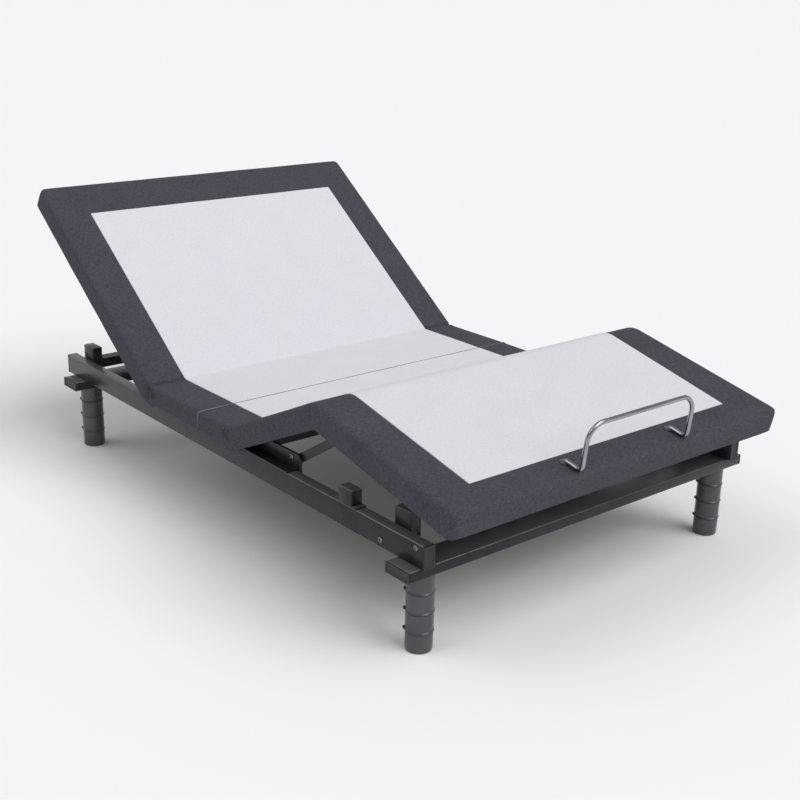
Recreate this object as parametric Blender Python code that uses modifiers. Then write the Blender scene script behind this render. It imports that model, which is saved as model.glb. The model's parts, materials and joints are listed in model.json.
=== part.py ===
"""Adjustable bed base: steel frame on four legs, with a lifting back, thigh and calf section.

Metres, +Z up, +Y towards the head. The origin is under the middle of the base, on the floor.
"""
import math

import bmesh
import bpy
from mathutils import Matrix, Vector

NAME = "adjustable_bed_base"
GAP = 0.0003                      # between pieces that touch

# Frame
DECK_HALF = 0.495                 # half the deck's width
RAIL_OUT = 0.486                  # outer face of a side rail
RAIL_IN = 0.458                   # inner face of a side rail
RAIL_FOOT, RAIL_HEAD = -0.7563, 0.7397
RAIL_BOTTOM, RAIL_TOP = 0.196, 0.246
WALL = 0.002                      # tube walls
CROSS_HALF = 0.512                # flat cross tubes stick out past the rails
CROSS_WIDE, CROSS_THICK = 0.070, 0.024
CROSS_FOOT_Y, CROSS_HEAD_Y = -0.7133, 0.6777
LEG_X, LEG_RADIUS, LEG_SEGMENTS = 0.453, 0.0285, 4
LEG_TOP = RAIL_BOTTOM - CROSS_THICK - 2 * GAP
MID_TUBES_Y = {"rear": 0.2237, "front": -0.0713}
MID_TUBE_LOW = 0.2095
INNER_TUBE_Y = (0.6537, 0.6937)
PLATE_FOOT, PLATE_LIP, PLATE_HEAD = -0.3073, -0.0763, -0.0373
CONTROL_Y = (-0.0493, 0.0687)
POST_TOP = 0.282                  # a level section rests on the posts
POST_Y = {"head": (0.6467, 0.6987), "foot": (-0.6843, -0.6353)}
POST_THICK = 0.028
STUB_Y = (-0.5333, -0.4883)

# Deck
SEAT_TOP = 0.2837                 # top of the fixed seat
SEAT_HEAD, SEAT_SEAM, SEAT_FOOT = 0.2562, 0.0427, -0.0726
LEVEL_TOP = 0.2935                # top of the lifting sections when they are level
AXIS_Z = 0.2537                   # height of the back and thigh hinges
BOARD = 0.006
TOP_LAYER = 0.0045                # felt and fabric over a board
RECESS = 0.0025                   # the pale panel lies in the top layer
SEAT_BARS_Y = {"rear": 0.2137, "middle": 0.0427, "front": -0.0213}
SEAT_DEPTH = 0.041                # the seat's edge, top to bottom
EDGE_DEPTH = 0.055                # deck edge, top to bottom
SKIRT = 0.0065
BORDER = 0.100                    # dark border beside the pale panel
HEAD_BORDER, FOOT_BORDER = 0.112, 0.079
BOARD_HALF = DECK_HALF - SKIRT - 0.001
SIDE_TUBE_X, TUBE = 0.4145, 0.024
PLATE = 0.006                     # hinge plates
LUG_X = SIDE_TUBE_X + TUBE / 2 - GAP
LINK_X = 0.4453
EAR_X = 0.0215

# Lifting sections as they stand: the back up, the thighs up, the calves sloping to the foot
BACK_ANGLE, THIGH_ANGLE, CALF_ANGLE = (math.radians(a) for a in (35.77, 25.24, 12.31))
BACK_FOLD_Y, THIGH_FOLD_Y = 0.2692, -0.0854
BACK_LENGTH, THIGH_LENGTH, CALF_LENGTH = 0.6946, 0.3601, 0.4475

# Links and drives
LINK_PIVOT = (-0.2973, 0.266)      # Y, Z of the calf links' lower pivot
LINK_REACH = 0.065                # their upper pivot, past the knee
DRIVE_FOOT = (0.010, -0.065)      # rod pivot on the frame, from the hinge it lifts
BACK_DRIVE_AT, THIGH_DRIVE_AT = 0.320, 0.262
DRIVE_BELOW = -0.035              # drive pivot under the hinge line
PIN = 0.006                       # pin radius

# Section geometry worked out from the above
AXIS_DEPTH = LEVEL_TOP - AXIS_Z   # from a section's top down to its hinge line
FOLD_DROP = SEAT_TOP - AXIS_Z


def fold_offset(angle):
    """How far the hinge lies beyond the fold, so that the raised top meets the seat's."""
    return (AXIS_DEPTH - FOLD_DROP * math.cos(angle)) / math.sin(angle)


def section_start(angle):
    """Where a section's top begins, measured from its hinge along the section."""
    return FOLD_DROP * math.sin(angle) - fold_offset(angle) * math.cos(angle)


BACK_AXIS_Y = BACK_FOLD_Y + fold_offset(BACK_ANGLE)
THIGH_AXIS_Y = THIGH_FOLD_Y - fold_offset(THIGH_ANGLE)
BACK_START, THIGH_START = section_start(BACK_ANGLE), section_start(THIGH_ANGLE)
KNEE_TRIM = AXIS_DEPTH * math.tan((THIGH_ANGLE + CALF_ANGLE) / 2)
KNEE_AT = THIGH_START + THIGH_LENGTH - KNEE_TRIM
BACK_END = BACK_START + BACK_LENGTH
CALF_END = CALF_LENGTH - KNEE_TRIM

# Retainer bar
BAR_RADIUS, BAR_HALF, BAR_HIGH, BAR_BEND = 0.0053, 0.161, 0.100, 0.040
BAR_FOOT = 0.048                  # length of each foot along the deck


# ---------------------------------------------------------------- scene and materials

def clear_scene():
    for obj in list(bpy.data.objects):
        bpy.data.objects.remove(obj, do_unlink=True)


def new_collection(name):
    coll = bpy.data.collections.new(name)
    bpy.context.scene.collection.children.link(coll)
    return coll


def material(name, colour, roughness, metallic=0.0):
    mat = bpy.data.materials.new(name)
    mat.use_nodes = True
    shader = mat.node_tree.nodes["Principled BSDF"]
    shader.inputs["Base Color"].default_value = (*colour, 1.0)
    shader.inputs["Roughness"].default_value = roughness
    shader.inputs["Metallic"].default_value = metallic
    mat.diffuse_color = (*colour, 1.0)
    return mat


# ---------------------------------------------------------------- meshes of single solids

def finish_mesh(bm, name="shape"):
    mesh = bpy.data.meshes.new(name)
    bm.to_mesh(mesh)
    bm.free()
    return mesh


def box(low, high, bevel=0.0, segments=1):
    """A box between two corners, with all its edges rounded by bevel."""
    low, high = Vector(low), Vector(high)
    bm = bmesh.new()
    bmesh.ops.create_cube(bm, size=1.0)
    bmesh.ops.scale(bm, vec=high - low, verts=bm.verts)
    bmesh.ops.translate(bm, vec=(low + high) / 2, verts=bm.verts)
    if bevel:
        bmesh.ops.bevel(bm, geom=bm.edges[:], offset=bevel, segments=segments,
                        profile=0.5, affect="EDGES")
    return finish_mesh(bm)


def tube(low, high, axis, bevel=0.003):
    """A rectangular tube, open at both ends of its long axis."""
    low, high = Vector(low), Vector(high)
    bm = bmesh.new()
    bmesh.ops.create_cube(bm, size=1.0)
    bmesh.ops.scale(bm, vec=high - low, verts=bm.verts)
    bmesh.ops.translate(bm, vec=(low + high) / 2, verts=bm.verts)
    ends = [f for f in bm.faces if abs(f.normal[axis]) > 0.9]
    bmesh.ops.delete(bm, geom=ends, context="FACES_ONLY")
    long_edges = [e for e in bm.edges if len(e.link_faces) == 2]
    bmesh.ops.bevel(bm, geom=long_edges, offset=bevel, segments=2, profile=0.5,
                    affect="EDGES")
    mesh = finish_mesh(bm)
    obj = bpy.data.objects.new("tube_shell", mesh)
    bpy.context.scene.collection.objects.link(obj)
    wall = obj.modifiers.new("Wall", "SOLIDIFY")
    wall.thickness = WALL
    wall.offset = -1.0
    wall.use_even_offset = True
    return evaluated(obj)


def rod(start, end, radius, sides=20, end_radius=None, bevel=0.0):
    """A round bar between two points, or a cone with end_radius."""
    start, end = Vector(start), Vector(end)
    bm = bmesh.new()
    bmesh.ops.create_cone(bm, cap_ends=True, segments=sides, radius1=radius,
                          radius2=radius if end_radius is None else end_radius,
                          depth=(end - start).length)
    if bevel:
        rims = [e for e in bm.edges if abs(e.calc_face_angle(0.0)) > 1.0]
        bmesh.ops.bevel(bm, geom=rims, offset=bevel, segments=1, affect="EDGES")
    turn = (end - start).to_track_quat("Z", "Y").to_matrix().to_4x4()
    bmesh.ops.transform(bm, matrix=Matrix.Translation((start + end) / 2) @ turn, verts=bm.verts)
    return finish_mesh(bm)


def turned(profile, sides=24):
    """A solid turned about the X axis from (x, radius) points, from low x to high x."""
    bm = bmesh.new()
    points = [(profile[0][0], 0.0), *profile, (profile[-1][0], 0.0)]
    verts = [bm.verts.new((0.0, r, x)) for x, r in points]
    edges = [bm.edges.new(pair) for pair in zip(verts, verts[1:])]
    bmesh.ops.spin(bm, geom=verts + edges, cent=(0, 0, 0), axis=(0, 0, 1),
                   angle=2 * math.pi, steps=sides, use_duplicate=False)
    bmesh.ops.remove_doubles(bm, verts=bm.verts, dist=1e-6)
    bmesh.ops.recalc_face_normals(bm, faces=bm.faces)
    bmesh.ops.rotate(bm, verts=bm.verts, matrix=Matrix.Rotation(math.pi / 2, 3, "Y"))
    return finish_mesh(bm)


def evaluated(obj):
    """The object's finished mesh, with its loose seams welded. The object is removed."""
    graph = bpy.context.evaluated_depsgraph_get()
    mesh = bpy.data.meshes.new_from_object(obj.evaluated_get(graph))
    place = obj.matrix_world.copy()
    bpy.data.objects.remove(obj, do_unlink=True)
    bm = bmesh.new()
    bm.from_mesh(mesh)
    bmesh.ops.remove_doubles(bm, verts=bm.verts, dist=1e-6)
    bmesh.ops.transform(bm, matrix=place, verts=bm.verts)
    bmesh.ops.recalc_face_normals(bm, faces=bm.faces)
    return finish_mesh(bm)


def arc(centre, radius, start, stop, count):
    """Points on an arc in the YZ plane, angles in degrees."""
    steps = [math.radians(start + (stop - start) * i / count) for i in range(count + 1)]
    return [(centre[0] + radius * math.cos(a), centre[1] + radius * math.sin(a)) for a in steps]


def circle(centre, radius, count=20):
    return arc(centre, radius, 0.0, 360.0 - 360.0 / count, count - 1)


def bar_outline(a, b, radius):
    """A flat bar with round ends about the points a and b."""
    lean = math.degrees(math.atan2(b[1] - a[1], b[0] - a[0]))
    return arc(b, radius, lean - 90, lean + 90, 8) + arc(a, radius, lean + 90, lean + 270, 8)


def plate(outline, holes, x_low, x_high):
    """A flat plate across X: an outline of (y, z) points with holes."""
    curve = bpy.data.curves.new("plate", "CURVE")
    curve.dimensions = "2D"
    curve.fill_mode = "BOTH"
    curve.extrude = (x_high - x_low) / 2
    for points in (outline, *holes):
        spline = curve.splines.new("POLY")
        spline.points.add(len(points) - 1)
        for slot, (y, z) in zip(spline.points, points):
            slot.co = (y, z, 0.0, 1.0)
        spline.use_cyclic_u = True
    obj = bpy.data.objects.new("plate", curve)
    bpy.context.scene.collection.objects.link(obj)
    mesh = evaluated(obj)
    swap = Matrix(((0, 0, 1, 0), (1, 0, 0, 0), (0, 1, 0, 0), (0, 0, 0, 1)))
    mesh.transform(Matrix.Translation(((x_low + x_high) / 2, 0, 0)) @ swap)
    return mesh


def bent_rod(path, radius):
    """A round rod along a list of points, with filled ends."""
    curve = bpy.data.curves.new("rod", "CURVE")
    curve.dimensions = "3D"
    curve.bevel_depth = radius
    curve.bevel_resolution = 3
    curve.use_fill_caps = True
    spline = curve.splines.new("POLY")
    spline.points.add(len(path) - 1)
    for slot, point in zip(spline.points, path):
        slot.co = (*point, 1.0)
    obj = bpy.data.objects.new("rod", curve)
    bpy.context.scene.collection.objects.link(obj)
    return evaluated(obj)


def mirrored(mesh):
    """The same solid on the other side of the middle."""
    bm = bmesh.new()
    bm.from_mesh(mesh)
    bmesh.ops.scale(bm, vec=(-1, 1, 1), verts=bm.verts)
    bmesh.ops.reverse_faces(bm, faces=bm.faces)
    return finish_mesh(bm)


def welded(*solids):
    """One solid from several that overlap."""
    first = bpy.data.objects.new("weld", solids[0])
    bpy.context.scene.collection.objects.link(first)
    tools = []
    for mesh in solids[1:]:
        tool = bpy.data.objects.new("weld_tool", mesh)
        bpy.context.scene.collection.objects.link(tool)
        step = first.modifiers.new("Union", "BOOLEAN")
        step.operation = "UNION"
        step.object = tool
        tools.append(tool)
    mesh = evaluated(first)
    for tool in tools:
        bpy.data.objects.remove(tool, do_unlink=True)
    return mesh


def both_sides(name, mat, mesh, parent=None, smooth=False):
    """The left piece as its own object, and its mirror image on the right."""
    other = mirrored(mesh)
    part(name + "_right", mat, mesh, parent, smooth)
    part(name + "_left", mat, other, parent, smooth)


# ---------------------------------------------------------------- objects

def part(name, mat, mesh, parent=None, smooth=False):
    """One named object from one solid."""
    mesh.name = name
    mesh.materials.append(mat)
    obj = bpy.data.objects.new(name, mesh)
    PARTS.objects.link(obj)
    obj.parent = parent
    if smooth:
        mesh.shade_smooth()
        mesh.set_sharp_from_angle(angle=math.radians(35))
    return obj


def shape(obj, mesh, operation):
    """Boolean with a helper solid that stays in the cutters collection."""
    tool = bpy.data.objects.new(obj.name + "_" + operation.lower(), mesh)
    CUTTERS.objects.link(tool)
    tool.parent = obj.parent
    tool.hide_render = True
    tool.display_type = "WIRE"
    step = obj.modifiers.new(operation.title(), "BOOLEAN")
    step.operation = operation
    step.object = tool
    return obj


def pivot(name, place, angle, parent=None):
    """An empty on a joint's axis. Its children's Y runs along the section."""
    empty = bpy.data.objects.new(name, None)
    empty.empty_display_size = 0.05
    PARTS.objects.link(empty)
    empty.parent = parent
    empty.location = place
    empty.rotation_euler = (angle, 0.0, 0.0)
    return empty


# ---------------------------------------------------------------- frame

def side_rails(steel):
    both_sides("side_rail", steel,
               tube((RAIL_IN, RAIL_FOOT, RAIL_BOTTOM), (RAIL_OUT, RAIL_HEAD, RAIL_TOP), 1))


def cross_tubes(steel):
    low, high = RAIL_BOTTOM - GAP - CROSS_THICK, RAIL_BOTTOM - GAP
    for end, y in (("head", CROSS_HEAD_Y), ("foot", CROSS_FOOT_Y)):
        part(end + "_cross_tube", steel,
             tube((-CROSS_HALF, y - CROSS_WIDE / 2, low), (CROSS_HALF, y + CROSS_WIDE / 2, high), 0))
    inner = RAIL_IN - GAP - POST_THICK - GAP
    part("inner_head_tube", steel,
         tube((-inner, INNER_TUBE_Y[0], RAIL_TOP - 0.0253), (inner, INNER_TUBE_Y[1], RAIL_TOP - GAP), 0))
    for end, y in MID_TUBES_Y.items():
        reach = RAIL_IN - GAP - (PLATE + GAP if end == "front" else 0)
        part(f"mid_tube_{end}", steel,
             tube((-reach, y - 0.015, MID_TUBE_LOW), (reach, y + 0.015, RAIL_TOP - 0.0005), 0))


def legs(plastic):
    """Four legs, each a stack of equal segments with a groove between them."""
    height = LEG_TOP / LEG_SEGMENTS
    groove, chamfer = 0.0018, 0.0012
    profile = [(0.0, LEG_RADIUS - 0.003), (0.003, LEG_RADIUS)]
    for i in range(1, LEG_SEGMENTS):
        z = i * height
        profile += [(z - chamfer, LEG_RADIUS), (z, LEG_RADIUS - groove), (z + chamfer, LEG_RADIUS)]
    profile += [(LEG_TOP, LEG_RADIUS)]
    for end, y in (("head", CROSS_HEAD_Y), ("foot", CROSS_FOOT_Y)):
        for side, x in (("left", -LEG_X), ("right", LEG_X)):
            leg = turned(profile, 28)
            leg.transform(Matrix.Translation((x, y, 0)) @ Matrix.Rotation(-math.pi / 2, 4, "Y"))
            part(f"leg_{end}_{side}", plastic, leg, smooth=True)


def posts(steel):
    """Corner posts on the inner side of the rails, and stubs on top of the rails."""
    outer = RAIL_IN - GAP
    for end, (y0, y1) in POST_Y.items():
        both_sides(end + "_post", steel,
                   box((outer - POST_THICK, y0, RAIL_BOTTOM), (outer, y1, POST_TOP), 0.002))
    foot = RAIL_TOP + GAP
    both_sides("stub_bracket", steel, welded(
        box((RAIL_IN, STUB_Y[0], foot), (RAIL_OUT, STUB_Y[1], POST_TOP), 0.0015),
        box((RAIL_IN, STUB_Y[0] - 0.014, foot), (RAIL_OUT, STUB_Y[1] + 0.014, foot + 0.003))))


def stud(x_root, steps, place):
    """A turned stud along X that starts at x_root, from (length, radius) steps inwards."""
    profile = []
    x = x_root
    for length, radius in steps:
        profile += [(x, radius), (x - length, radius)]
        x -= length
    mesh = turned(profile[::-1], 16)
    mesh.transform(Matrix.Translation((0, *place)))
    return mesh


def rail_plates(steel):
    """Pivot plates for the thigh hinge and calf links, and ears for the back hinge."""
    outer = RAIL_IN - GAP
    inner = outer - PLATE
    root = inner + 0.002
    top = POST_TOP - 0.0005
    foot_end = LINK_PIVOT[0] - 0.018
    rise = THIGH_AXIS_Y + 0.006
    outline = [(PLATE_HEAD, 0.2100), (PLATE_HEAD, 0.2640), (rise, 0.2665), (rise - 0.004, top)]
    outline += arc((foot_end + 0.012, top - 0.012), 0.012, 90, 180, 5)
    outline += [(foot_end, 0.2100)]
    lip = box((outer - 0.003, PLATE_FOOT, RAIL_TOP + GAP), (RAIL_OUT + 0.0015, PLATE_LIP, RAIL_TOP + 0.0035))
    hinge_steps = ((root - LUG_X - PLATE - 0.0006, 0.009), (PLATE + 0.0012, PIN), (0.004, 0.010))
    link_steps = ((root - LINK_X + 0.0006, PIN), (0.003, 0.010))
    both_sides("pivot_plate", steel, welded(
        plate(outline, [], inner, outer), lip,
        stud(root, hinge_steps, (THIGH_AXIS_Y, AXIS_Z)), stud(root, link_steps, LINK_PIVOT)))
    ear = plate(bar_outline((BACK_AXIS_Y, AXIS_Z), (BACK_AXIS_Y - 0.006, 0.222), 0.017), [], inner, outer)
    both_sides("back_hinge_ear", steel, welded(ear, stud(root, hinge_steps, (BACK_AXIS_Y, AXIS_Z))))


# ---------------------------------------------------------------- deck

def deck_cover(name, mat, parent, low, high, depth, panel, closed_end=0):
    """Upholstery: a top layer with a recess for the pale panel, and hanging sides."""
    cover = part(name, mat, box((-DECK_HALF, low, AXIS_DEPTH - depth),
                                (DECK_HALF, high, AXIS_DEPTH), 0.0040, 2), parent)
    reach = 0.02
    inside = [low - reach, high + reach]
    if closed_end > 0:
        inside[1] = high - SKIRT
    if closed_end < 0:
        inside[0] = low + SKIRT
    shape(cover, box((-DECK_HALF + SKIRT, inside[0], AXIS_DEPTH - depth - reach),
                     (DECK_HALF - SKIRT, inside[1], AXIS_DEPTH - TOP_LAYER)), "DIFFERENCE")
    half = DECK_HALF - BORDER
    shape(cover, box((-half, panel[0], AXIS_DEPTH - RECESS), (half, panel[1], AXIS_DEPTH + reach)),
          "DIFFERENCE")
    return cover


def knee_relief(cover, y, into):
    """Trim a cover's hanging sides below the hinge line, so that the knee can fold."""
    deep = 0.018
    run = deep * math.tan(math.radians(31))
    outline = [(y - into * 0.002, 0.0006), (y, 0.0006), (y + into * run, -deep), (y - into * 0.002, -deep)]
    shape(cover, plate(outline, [], -DECK_HALF - 0.01, DECK_HALF + 0.01), "DIFFERENCE")


def deck_panel(name, mat, parent, low, high):
    half = DECK_HALF - BORDER - GAP
    part(name, mat, box((-half, low, AXIS_DEPTH - RECESS + GAP), (half, high, AXIS_DEPTH)), parent)


def deck_board(name, mat, parent, low, high):
    top = AXIS_DEPTH - TOP_LAYER - GAP
    return part(name, mat, box((-BOARD_HALF, low, top - BOARD), (BOARD_HALF, high, top)), parent)


def seat(mats):
    """The fixed seat: bars across the rails, two boards, and a cover and panel on each."""
    level = pivot("seat_level", (0, 0, SEAT_TOP - AXIS_DEPTH), 0.0)
    board_low = AXIS_DEPTH - TOP_LAYER - GAP - BOARD
    bar_low = RAIL_TOP + GAP - (SEAT_TOP - AXIS_DEPTH)
    for place, y in SEAT_BARS_Y.items():
        part(f"seat_bar_{place}", mats["steel"],
             tube((-RAIL_OUT, y - 0.012, bar_low), (RAIL_OUT, y + 0.012, board_low - GAP), 0), level)
    for name, low, high in (("rear_seat", SEAT_SEAM + GAP, SEAT_HEAD),
                            ("front_seat", SEAT_FOOT, SEAT_SEAM - GAP)):
        deck_board(name + "_board", mats["board"], level, low + GAP, high - GAP)
        deck_cover(name + "_cover", mats["border"], level, low, high, SEAT_DEPTH,
                   (low - 0.01, high + 0.01))
        deck_panel(name + "_panel", mats["panel"], level, low, high)


def lug(start, end, x_low, bored_at):
    """A flat bar on the outside of a side tube, bored for a hinge stud."""
    return plate(bar_outline((start, 0.0), (end, 0.0), 0.014), [circle((bored_at, 0.0), PIN + 0.0005)],
                 x_low, x_low + PLATE)


def subframe(name, steel, parent, ends, crossings, extras):
    """A welded frame under a section: channel side and cross members, with lugs and studs."""
    high = AXIS_DEPTH - TOP_LAYER - 2 * GAP - BOARD
    low = high - TUBE
    inner, outer = SIDE_TUBE_X - TUBE / 2, SIDE_TUBE_X + TUBE / 2
    sides = box((inner, ends[0], low), (outer, ends[1], high))
    hollow = box((inner + WALL, ends[0] + WALL, low - 0.01), (outer - WALL, ends[1] - WALL, high - WALL))
    solids = [sides, mirrored(sides)]
    hollows = [hollow, mirrored(hollow)]
    for y in crossings:
        solids.append(box((-inner - 0.001, y - TUBE / 2, low + 0.0005),
                          (inner + 0.001, y + TUBE / 2, high - 0.0005)))
        hollows.append(box((-inner + 0.0005, y - TUBE / 2 + WALL, low - 0.012),
                           (inner - 0.0005, y + TUBE / 2 - WALL, high - WALL - 0.0005)))
    channel = bpy.data.objects.new("channel", welded(*solids))
    bpy.context.scene.collection.objects.link(channel)
    for mesh in hollows:
        shape(channel, mesh, "DIFFERENCE")
    solids = [evaluated(channel)]
    for extra in extras:
        solids += [extra, mirrored(extra)]
    part(name, steel, welded(*solids), parent)


def drive_ears(y):
    """Plates that hang from a cross tube and carry a drive between them."""
    top = AXIS_DEPTH - TOP_LAYER - BOARD - 0.006
    half = 0.013
    outline = arc((y, DRIVE_BELOW), half, 180, 360, 8) + [(y + half, top), (y - half, top)]
    return plate(outline, [], EAR_X, EAR_X + 0.005)


def back_section(mats):
    hinge = pivot("back_hinge", (0, BACK_AXIS_Y, AXIS_Z), BACK_ANGLE)
    low, high = BACK_START + 0.003, BACK_END
    deck_board("back_board", mats["board"], hinge, low, high - SKIRT - GAP)
    deck_cover("back_cover", mats["border"], hinge, low, high, EDGE_DEPTH,
               (low - 0.01, high - HEAD_BORDER), closed_end=1)
    deck_panel("back_panel", mats["panel"], hinge, low, high - HEAD_BORDER - GAP)
    subframe("back_frame", mats["steel"], hinge, (0.030, 0.640), (0.046, BACK_DRIVE_AT, 0.600),
             (lug(0.0, 0.15, LUG_X, 0.0), drive_ears(BACK_DRIVE_AT)))
    return hinge


def thigh_section(mats):
    hinge = pivot("thigh_hinge", (0, THIGH_AXIS_Y, AXIS_Z), -THIGH_ANGLE)
    low, high = -(KNEE_AT - 0.0005), -(THIGH_START + 0.003)
    deck_board("thigh_board", mats["board"], hinge, low, high)
    cover = deck_cover("thigh_cover", mats["border"], hinge, low, high, EDGE_DEPTH,
                       (low - 0.01, high + 0.01))
    knee_relief(cover, low, 1)
    deck_panel("thigh_panel", mats["panel"], hinge, low, high)
    knee_stud = turned([(LUG_X + 0.004, PIN), (LUG_X + 0.0133, PIN), (LUG_X + 0.0133, 0.009),
                        (LUG_X + 0.0160, 0.009)], 16)
    knee_stud.transform(Matrix.Translation((0, -KNEE_AT, 0)))
    knee_lug = plate(bar_outline((-KNEE_AT, 0.0), (-KNEE_AT + 0.09, 0.0), 0.014), [], LUG_X, LUG_X + PLATE)
    subframe("thigh_frame", mats["steel"], hinge, (-KNEE_AT + 0.030, -0.030),
             (-0.046, -THIGH_DRIVE_AT),
             (lug(-0.10, 0.0, LUG_X, 0.0), knee_lug, knee_stud, drive_ears(-THIGH_DRIVE_AT)))
    return hinge


def calf_section(mats, thigh):
    knee = pivot("knee_hinge", (0, -KNEE_AT, 0), THIGH_ANGLE + CALF_ANGLE, thigh)
    low, high = -CALF_END, -0.0005
    deck_board("calf_board", mats["board"], knee, low + SKIRT + GAP, high)
    cover = deck_cover("calf_cover", mats["border"], knee, low, high, EDGE_DEPTH,
                       (low + FOOT_BORDER, high + 0.01), closed_end=-1)
    knee_relief(cover, high, -1)
    deck_panel("calf_panel", mats["panel"], knee, low + FOOT_BORDER + GAP, high)
    spacer = box((LUG_X - 0.002, -0.125, -0.010), (LUG_X + PLATE + 0.002, -0.105, 0.010))
    calf_lug = lug(-0.130, 0.0, LUG_X + PLATE + 0.0003, 0.0)
    link_stud = turned([(LUG_X + PLATE + 0.003, PIN), (LINK_X - 0.001, PIN)], 16)
    link_stud.transform(Matrix.Translation((0, -LINK_REACH, 0)))
    subframe("calf_frame", mats["steel"], knee, (-0.375, -0.030), (-0.335,),
             (spacer, calf_lug, link_stud))
    return knee


def hoop_path():
    """Half of the retainer bar's centre line, from its threaded foot to the middle."""
    lift = AXIS_DEPTH + BAR_RADIUS + GAP
    lean = CALF_ANGLE - math.radians(6)
    up = Vector((0, math.sin(lean), math.cos(lean)))
    corner = Vector((BAR_HALF, -(CALF_END - 0.002), lift))
    foot = corner + Vector((0, BAR_FOOT, 0))
    turn, bend = 0.0055, 0.012
    path = [foot - Vector((0, 0, lift - AXIS_DEPTH + TOP_LAYER + BOARD + 0.012))]
    for i in range(4):
        a = math.radians(30 * i)
        path.append(foot + turn * Vector((0, math.cos(a) - 1, math.sin(a) - 1)))
    for i in range(6):
        t = i / 5
        near, far = corner + Vector((0, bend, 0)), corner + up * bend
        path.append(near * (1 - t) ** 2 + corner * 2 * t * (1 - t) + far * t * t)
    for i in range(8):
        a = math.radians(90 * i / 7)
        inward = Vector((BAR_BEND * (math.cos(a) - 1), 0, 0))
        path.append(corner + inward + up * (BAR_HIGH - BAR_BEND + BAR_BEND * math.sin(a)))
    return path


def retainer_bar(mats, knee):
    """Mattress bar: two feet along the deck, then a hoop that stands up at the foot edge."""
    half = hoop_path()
    path = half + [Vector((-p.x, p.y, p.z)) for p in reversed(half)]
    part("retainer_bar", mats["bright"], bent_rod(path, BAR_RADIUS), knee, smooth=True)
    y = half[0].y
    under = AXIS_DEPTH - TOP_LAYER - BOARD - 2 * GAP
    nut = plate(circle((0, 0), 0.011, 6), [circle((0, 0), BAR_RADIUS + GAP, 14)], 0, 0.005)
    nut.transform(Matrix.Translation((BAR_HALF, y, under)) @ Matrix.Rotation(math.pi / 2, 4, "Y"))
    both_sides("retainer_nut", mats["bright"], nut, knee)
    for name in ("calf_cover", "calf_board"):
        for x in (BAR_HALF, -BAR_HALF):
            drill = rod((x, y, 0), (x, y, 0.06), BAR_RADIUS + 0.0006, sides=16)
            shape(bpy.data.objects[name], drill, "DIFFERENCE")


def calf_links(mats):
    """Flat bars from the pivot plates to the calf section."""
    low = Vector((0, *LINK_PIVOT))
    knee = Vector((0, THIGH_AXIS_Y - KNEE_AT * math.cos(THIGH_ANGLE), AXIS_Z + KNEE_AT * math.sin(THIGH_ANGLE)))
    high = knee - LINK_REACH * Vector((0, math.cos(CALF_ANGLE), math.sin(CALF_ANGLE)))
    reach = (high - low).length
    lever = pivot("calf_link_pivot", low, -math.atan2(high.z - low.z, low.y - high.y))
    bar = plate(bar_outline((-reach, 0), (0, 0), 0.010), [circle((0, 0), PIN + 0.0006), circle((-reach, 0), PIN)],
                LINK_X, LINK_X + 0.005)
    both_sides("calf_link", mats["steel"], bar, lever)


# ---------------------------------------------------------------- drives and controls

def drive(prefix, mats, section, sign, at, angle, barrel, rod_length):
    """A linear drive: housing and barrel on the section, rod to the frame."""
    top = Vector((0, sign * at, DRIVE_BELOW))
    foot = Matrix.Rotation(-sign * angle, 3, "X") @ Vector((0, sign * DRIVE_FOOT[0], DRIVE_FOOT[1]))
    line = foot - top
    body = pivot(prefix + "_drive_pivot", top, math.atan2(line.z, line.y), section)
    tail = box((-0.0205, -0.014, -0.016), (0.0205, 0.012, 0.016), 0.003)
    gear = box((-0.0205, 0.010, -0.027), (0.0205, 0.098, 0.027), 0.006, 2)
    motor = rod((0.018, 0.052, 0.0), (0.100, 0.052, 0.0), 0.0255, sides=24, bevel=0.002)
    part(prefix + "_drive_housing", mats["plastic"], welded(tail, gear, motor), body, smooth=True)
    sleeve = plate(circle((0, 0), 0.0165, 24), [circle((0, 0), 0.0115, 24)], 0, barrel - 0.0985)
    sleeve.transform(Matrix.Translation((0, 0.0985, 0)) @ Matrix.Rotation(math.pi / 2, 4, "Z"))
    part(prefix + "_drive_tube", mats["alu"], sleeve, body, smooth=True)
    bar = rod((0, line.length - rod_length, 0), (0, line.length - 0.008, 0), 0.0095)
    eye = rod((-0.008, line.length, 0), (0.008, line.length, 0), 0.0125)
    part(prefix + "_drive_rod", mats["bright"], welded(bar, eye), body, smooth=True)


def drive_bracket(name, steel, tube_y, hinge_y, sign):
    """A bracket under a mid tube that a drive's rod pushes against."""
    y = hinge_y + sign * DRIVE_FOOT[0]
    z = AXIS_Z + DRIVE_FOOT[1]
    top = MID_TUBE_LOW - GAP
    back, front = tube_y - sign * 0.012, tube_y + sign * 0.0148
    outline = [(back, top), (front, top), (y, z + 0.012), (y + sign * 0.012, z), (y, z - 0.012),
               (back, z)]
    cheek = plate(outline, [], 0.0098, 0.0148)
    ys = sorted((back, front))
    bridge = box((-0.0140, ys[0] + 0.001, top - 0.004), (0.0140, ys[1] - 0.001, top - 0.0002))
    part(name, steel, welded(bridge, cheek, mirrored(cheek)))


def controls(mats):
    low = 0.214
    part("control_box", mats["plastic"],
         box((0.130, CONTROL_Y[0], low), (0.300, CONTROL_Y[1], low + 0.0310), 0.003))
    end = CONTROL_Y[1] + GAP
    part("power_inlet", mats["rubber"],
         box((0.205, end, low + 0.005), (0.235, end + 0.0117, low + 0.027), 0.002))


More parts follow.
